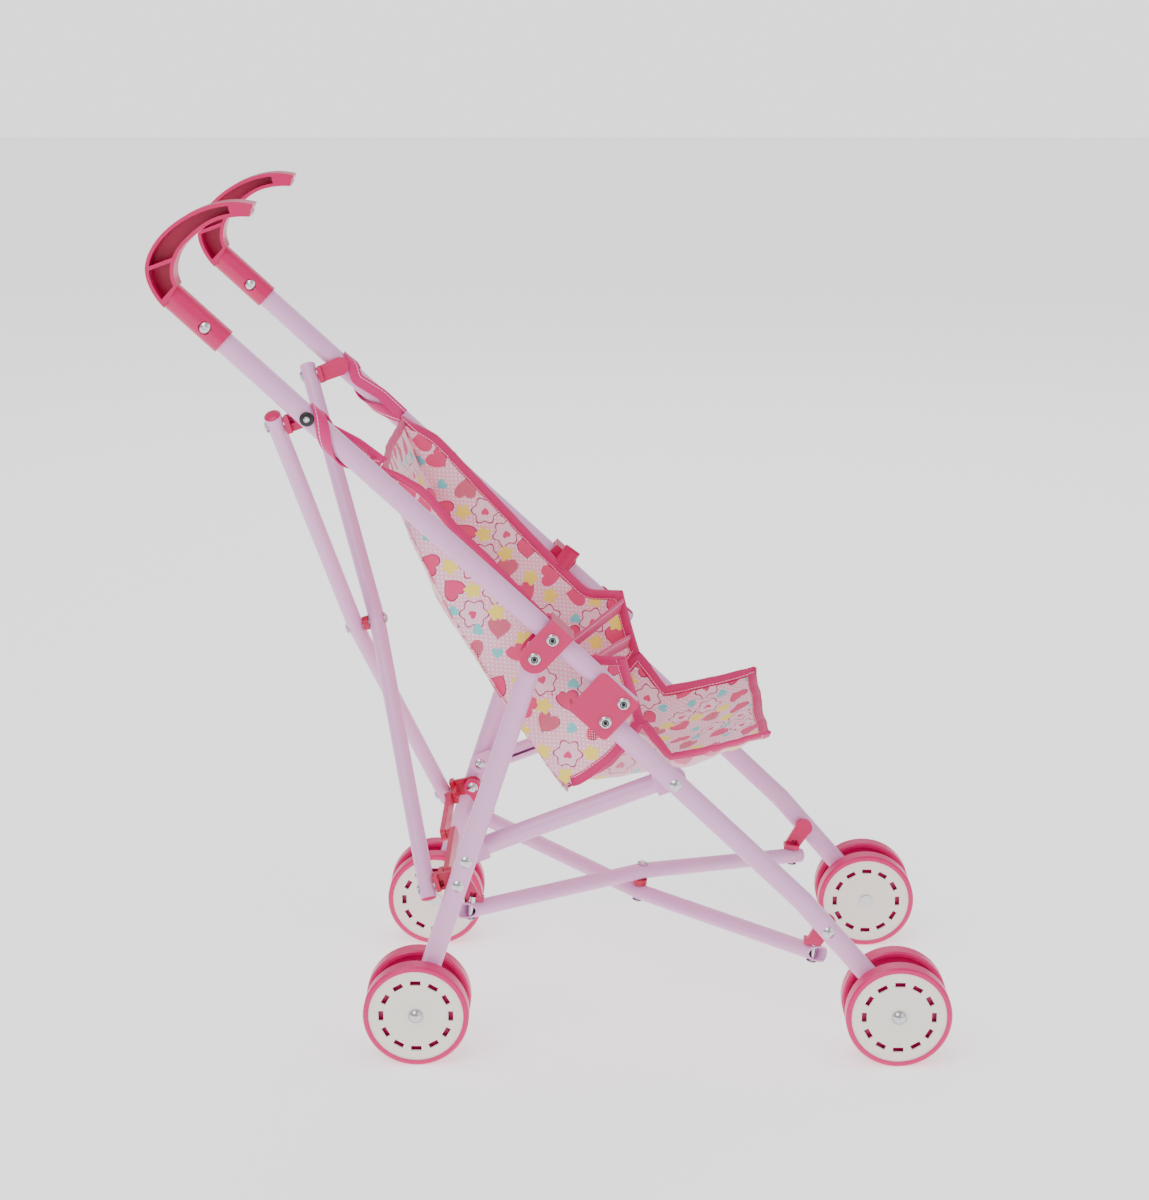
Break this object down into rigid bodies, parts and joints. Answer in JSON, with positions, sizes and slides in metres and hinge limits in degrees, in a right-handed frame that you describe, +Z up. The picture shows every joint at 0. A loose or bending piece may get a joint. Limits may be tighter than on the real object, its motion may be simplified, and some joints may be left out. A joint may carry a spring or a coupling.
{
  "type": "doll stroller",
  "caption": "Folding umbrella-style toy stroller: two tube side frames tied by crossed bars, hooked handles, paired wheels and a slung cloth seat.",
  "frame": {"origin": "on the ground under the middle of the overall box", "axes": "+X forward, +Y to the stroller's left, +Z up"},
  "size_m": [0.4826, 0.2368, 0.5333],
  "materials": {
    "tube_paint": "pale pink-lilac gloss paint",
    "pink_plastic": "hot pink gloss",
    "red_plastic": "pinkish red gloss",
    "wheel_pink": "hot pink satin",
    "disc_white": "warm white satin",
    "rivet_steel": "bright plated",
    "seat_cloth": "printed pale pink cloth with hot pink binding",
    "strap_pink": "hot pink satin ribbon"
  },
  "bodies": {
    "rear_leg_right": {"right_rear_leg": "tube_paint", "right_rear_leg_rivets_and_axle": "rivet_steel"},
    "rear_leg_left": {"left_rear_leg": "tube_paint", "left_rear_leg_rivets_and_axle": "rivet_steel"},
    "push_right": {"right_push_tube": "tube_paint", "right_handle": "pink_plastic", "right_upper_bracket": "pink_plastic", "right_push_rivets": "rivet_steel"},
    "front_leg_right": {"right_front_leg": "tube_paint", "right_elbow_bracket": "pink_plastic", "right_front_leg_rivets_and_axle": "rivet_steel"},
    "side_link_right": {"right_side_link": "tube_paint"},
    "rear_low_bracket_right": {"right_rear_bar_low_bracket": "red_plastic"},
    "rear_top_bracket_right": {"right_rear_bar_top_bracket": "pink_plastic"},
    "seat_bracket_right": {"right_seat_bar_rear_bracket": "pink_plastic"},
    "front_link_right": {"right_seat_bar_front_link": "pink_plastic"},
    "lock_arm_right": {"right_lock_arm": "red_plastic"},
    "push_left": {"left_push_tube": "tube_paint", "left_handle": "pink_plastic", "left_upper_bracket": "pink_plastic", "left_push_rivets": "rivet_steel"},
    "front_leg_left": {"left_front_leg": "tube_paint", "left_elbow_bracket": "pink_plastic", "left_front_leg_rivets_and_axle": "rivet_steel"},
    "side_link_left": {"left_side_link": "tube_paint"},
    "rear_low_bracket_left": {"left_rear_bar_low_bracket": "red_plastic"},
    "rear_top_bracket_left": {"left_rear_bar_top_bracket": "pink_plastic"},
    "seat_bracket_left": {"left_seat_bar_rear_bracket": "pink_plastic"},
    "front_link_left": {"left_seat_bar_front_link": "pink_plastic"},
    "lock_arm_left": {"left_lock_arm": "red_plastic"},
    "rear_bar_front": {"rear_bar_front": "tube_paint", "rear_bar_front_rivets": "rivet_steel", "rear_cross_spacer": "red_plastic"},
    "rear_bar_back": {"rear_bar_back": "tube_paint", "rear_bar_back_rivets": "rivet_steel"},
    "seat_bar_upper": {"seat_bar_upper": "tube_paint", "seat_bar_upper_rivets": "rivet_steel", "seat_cross_spacer": "red_plastic"},
    "seat_bar_lower": {"seat_bar_lower": "tube_paint", "seat_bar_lower_rivets": "rivet_steel"},
    "seat_back": {"seat_back": "seat_cloth", "lap_straps": "strap_pink", "belt_clip": "pink_plastic"},
    "seat_base": {"seat_base": "seat_cloth"},
    "right_front_outer_wheel": {"right_front_outer_tyre": "wheel_pink", "right_front_outer_disc": "disc_white"},
    "right_front_inner_wheel": {"right_front_inner_tyre": "wheel_pink", "right_front_inner_disc": "disc_white"},
    "right_rear_outer_wheel": {"right_rear_outer_tyre": "wheel_pink", "right_rear_outer_disc": "disc_white"},
    "right_rear_inner_wheel": {"right_rear_inner_tyre": "wheel_pink", "right_rear_inner_disc": "disc_white"},
    "left_front_outer_wheel": {"left_front_outer_tyre": "wheel_pink", "left_front_outer_disc": "disc_white"},
    "left_front_inner_wheel": {"left_front_inner_tyre": "wheel_pink", "left_front_inner_disc": "disc_white"},
    "left_rear_outer_wheel": {"left_rear_outer_tyre": "wheel_pink", "left_rear_outer_disc": "disc_white"},
    "left_rear_inner_wheel": {"left_rear_inner_tyre": "wheel_pink", "left_rear_inner_disc": "disc_white"}
  },
  "joints": [
    {"name": "fold", "type": "hinge", "parent": "rear_leg_right", "child": "push_right", "pos_m": [-0.01712, -0.097, 0.26115], "axis": [0, 1, 0], "range_deg": [0, 67.5]},
    {"name": "elbow_right", "type": "hinge", "parent": "push_right", "child": "front_leg_right", "pos_m": [0.03655, -0.097, 0.23312], "axis": [0, 1, 0], "range_deg": [-160.51, 0]},
    {"name": "side_link_right", "type": "hinge", "parent": "rear_leg_right", "child": "side_link_right", "pos_m": [-0.05994, -0.088, 0.12996], "axis": [0, 1, 0], "range_deg": [-28.58, 0]},
    {"name": "rear_low_bracket_right", "type": "hinge", "parent": "rear_leg_right", "child": "rear_low_bracket_right", "pos_m": [-0.0651, -0.088, 0.11418], "axis": [0, 1, 0], "range_deg": [0, 38.23]},
    {"name": "rear_bar_swing", "type": "hinge", "parent": "rear_low_bracket_right", "child": "rear_bar_front", "pos_m": [-0.08526, -0.08954, 0.10831], "axis": [0.9602, 0, 0.2795], "range_deg": [0, 24.08]},
    {"name": "rear_bar_crossing", "type": "hinge", "parent": "rear_bar_front", "child": "rear_bar_back", "pos_m": [-0.12783, 0, 0.25457], "axis": [0.9602, 0, 0.2795], "range_deg": [-48.16, 0]},
    {"name": "rear_bar_left_end", "type": "hinge", "parent": "rear_bar_back", "child": "rear_low_bracket_left", "pos_m": [-0.08526, 0.08954, 0.10831], "axis": [0.9602, 0, 0.2795], "range_deg": [0, 24.08]},
    {"name": "rear_leg_left", "type": "hinge", "parent": "rear_low_bracket_left", "child": "rear_leg_left", "pos_m": [-0.0651, 0.088, 0.11418], "axis": [0, 1, 0], "range_deg": [-38.23, 0]},
    {"name": "push_tube_left", "type": "hinge", "parent": "rear_leg_left", "child": "push_left", "pos_m": [-0.01712, 0.097, 0.26115], "axis": [0, 1, 0], "range_deg": [0, 67.51]},
    {"name": "elbow_left", "type": "hinge", "parent": "push_left", "child": "front_leg_left", "pos_m": [0.03655, 0.097, 0.23312], "axis": [0, 1, 0], "range_deg": [-160.51, 0]},
    {"name": "side_link_left", "type": "hinge", "parent": "rear_leg_left", "child": "side_link_left", "pos_m": [-0.05994, 0.088, 0.12996], "axis": [0, 1, 0], "range_deg": [-28.58, 0]},
    {"name": "rear_top_bracket_left", "type": "hinge", "parent": "rear_bar_front", "child": "rear_top_bracket_left", "pos_m": [-0.17041, 0.08954, 0.40083], "axis": [0.9602, 0, 0.2795], "range_deg": [-24.08, 0]},
    {"name": "rear_top_bracket_right", "type": "hinge", "parent": "rear_bar_back", "child": "rear_top_bracket_right", "pos_m": [-0.17041, -0.08954, 0.40083], "axis": [0.9602, 0, 0.2795], "range_deg": [0, 24.08]},
    {"name": "seat_bracket_right", "type": "hinge", "parent": "rear_leg_right", "child": "seat_bracket_right", "pos_m": [-0.0651, -0.085, 0.11418], "axis": [0, 1, 0], "range_deg": [-57.72, 0]},
    {"name": "seat_bar_swing", "type": "hinge", "parent": "seat_bracket_right", "child": "seat_bar_upper", "pos_m": [-0.0579, -0.08543, 0.09207], "axis": [0.1293, 0, 0.9916], "range_deg": [-31.77, 0]},
    {"name": "seat_bar_crossing", "type": "hinge", "parent": "seat_bar_upper", "child": "seat_bar_lower", "pos_m": [0.04943, 0, 0.07807], "axis": [0.1293, 0, 0.9916], "range_deg": [0, 63.54]},
    {"name": "seat_bracket_left", "type": "hinge", "parent": "seat_bar_lower", "child": "seat_bracket_left", "pos_m": [-0.0579, 0.08543, 0.09207], "axis": [0.1293, 0, 0.9916], "range_deg": [-31.77, 0]},
    {"name": "front_link_left", "type": "hinge", "parent": "seat_bar_upper", "child": "front_link_left", "pos_m": [0.15677, 0.08543, 0.06408], "axis": [0.1293, 0, 0.9916], "range_deg": [0, 31.77]},
    {"name": "front_link_right", "type": "hinge", "parent": "seat_bar_lower", "child": "front_link_right", "pos_m": [0.15677, -0.08543, 0.06408], "axis": [0.1293, 0, 0.9916], "range_deg": [-31.77, 0]},
    {"name": "lock_arm_right", "type": "hinge", "parent": "rear_low_bracket_right", "child": "lock_arm_right", "pos_m": [-0.07297, -0.0742, 0.11189], "axis": [0.9602, 0, 0.2795], "range_deg": [0, 86.71]},
    {"name": "lock_arm_left", "type": "hinge", "parent": "rear_low_bracket_left", "child": "lock_arm_left", "pos_m": [-0.07988, 0.0742, 0.10988], "axis": [0.9602, 0, 0.2795], "range_deg": [-86.71, 0]},
    {"name": "seat_back_swing", "type": "hinge", "parent": "push_right", "child": "seat_back", "pos_m": [-0.10776, 0, 0.36722], "axis": [0, 1, 0], "range_deg": [-20.01, 0], "deforming": ["seat_back", "lap_straps", "belt_clip"]},
    {"name": "seat_base_lift", "type": "hinge", "parent": "seat_back", "child": "seat_base", "pos_m": [0.0035, 0, 0.167], "axis": [0, 1, 0], "range_deg": [-88.01, 0], "deforming": ["seat_base"]},
    {"name": "right_front_outer_wheel_spin", "type": "hinge", "parent": "front_leg_right", "child": "right_front_outer_wheel", "pos_m": [0.2084, -0.11, 0.033], "axis": [0, 1, 0], "continuous": true},
    {"name": "right_front_inner_wheel_spin", "type": "hinge", "parent": "front_leg_right", "child": "right_front_inner_wheel", "pos_m": [0.2084, -0.084, 0.033], "axis": [0, 1, 0], "continuous": true},
    {"name": "right_rear_outer_wheel_spin", "type": "hinge", "parent": "rear_leg_right", "child": "right_rear_outer_wheel", "pos_m": [-0.0916, -0.11, 0.033], "axis": [0, 1, 0], "continuous": true},
    {"name": "right_rear_inner_wheel_spin", "type": "hinge", "parent": "rear_leg_right", "child": "right_rear_inner_wheel", "pos_m": [-0.0916, -0.084, 0.033], "axis": [0, 1, 0], "continuous": true},
    {"name": "left_front_outer_wheel_spin", "type": "hinge", "parent": "front_leg_left", "child": "left_front_outer_wheel", "pos_m": [0.2084, 0.11, 0.033], "axis": [0, 1, 0], "continuous": true},
    {"name": "left_front_inner_wheel_spin", "type": "hinge", "parent": "front_leg_left", "child": "left_front_inner_wheel", "pos_m": [0.2084, 0.084, 0.033], "axis": [0, 1, 0], "continuous": true},
    {"name": "left_rear_outer_wheel_spin", "type": "hinge", "parent": "rear_leg_left", "child": "left_rear_outer_wheel", "pos_m": [-0.0916, 0.11, 0.033], "axis": [0, 1, 0], "continuous": true},
    {"name": "left_rear_inner_wheel_spin", "type": "hinge", "parent": "rear_leg_left", "child": "left_rear_inner_wheel", "pos_m": [-0.0916, 0.084, 0.033], "axis": [0, 1, 0], "continuous": true}
  ],
  "couplings": [
    {"joint": "elbow_right", "follows": "fold", "ratio": -2.3778},
    {"joint": "side_link_right", "follows": "fold", "ratio": -0.42332},
    {"joint": "rear_low_bracket_right", "follows": "fold", "ratio": 0.56621},
    {"joint": "rear_bar_swing", "follows": "fold", "ratio": 0.35667},
    {"joint": "rear_bar_crossing", "follows": "fold", "ratio": -0.71333},
    {"joint": "rear_bar_left_end", "follows": "fold", "ratio": 0.35667},
    {"joint": "rear_leg_left", "follows": "fold", "ratio": -0.56621},
    {"joint": "push_tube_left", "follows": "fold", "ratio": 1},
    {"joint": "elbow_left", "follows": "fold", "ratio": -2.3778},
    {"joint": "side_link_left", "follows": "fold", "ratio": -0.42332},
    {"joint": "rear_top_bracket_left", "follows": "fold", "ratio": -0.35667},
    {"joint": "rear_top_bracket_right", "follows": "fold", "ratio": 0.35667},
    {"joint": "seat_bracket_right", "follows": "fold", "ratio": -0.85494},
    {"joint": "seat_bar_swing", "follows": "fold", "ratio": -0.47058},
    {"joint": "seat_bar_crossing", "follows": "fold", "ratio": 0.94116},
    {"joint": "seat_bracket_left", "follows": "fold", "ratio": -0.47058},
    {"joint": "front_link_left", "follows": "fold", "ratio": 0.47058},
    {"joint": "front_link_right", "follows": "fold", "ratio": -0.47058},
    {"joint": "lock_arm_right", "follows": "fold", "ratio": 1.2844},
    {"joint": "lock_arm_left", "follows": "fold", "ratio": -1.2844},
    {"joint": "seat_back_swing", "follows": "fold", "ratio": -0.2963},
    {"joint": "seat_base_lift", "follows": "fold", "ratio": -1.3037}
  ]
}
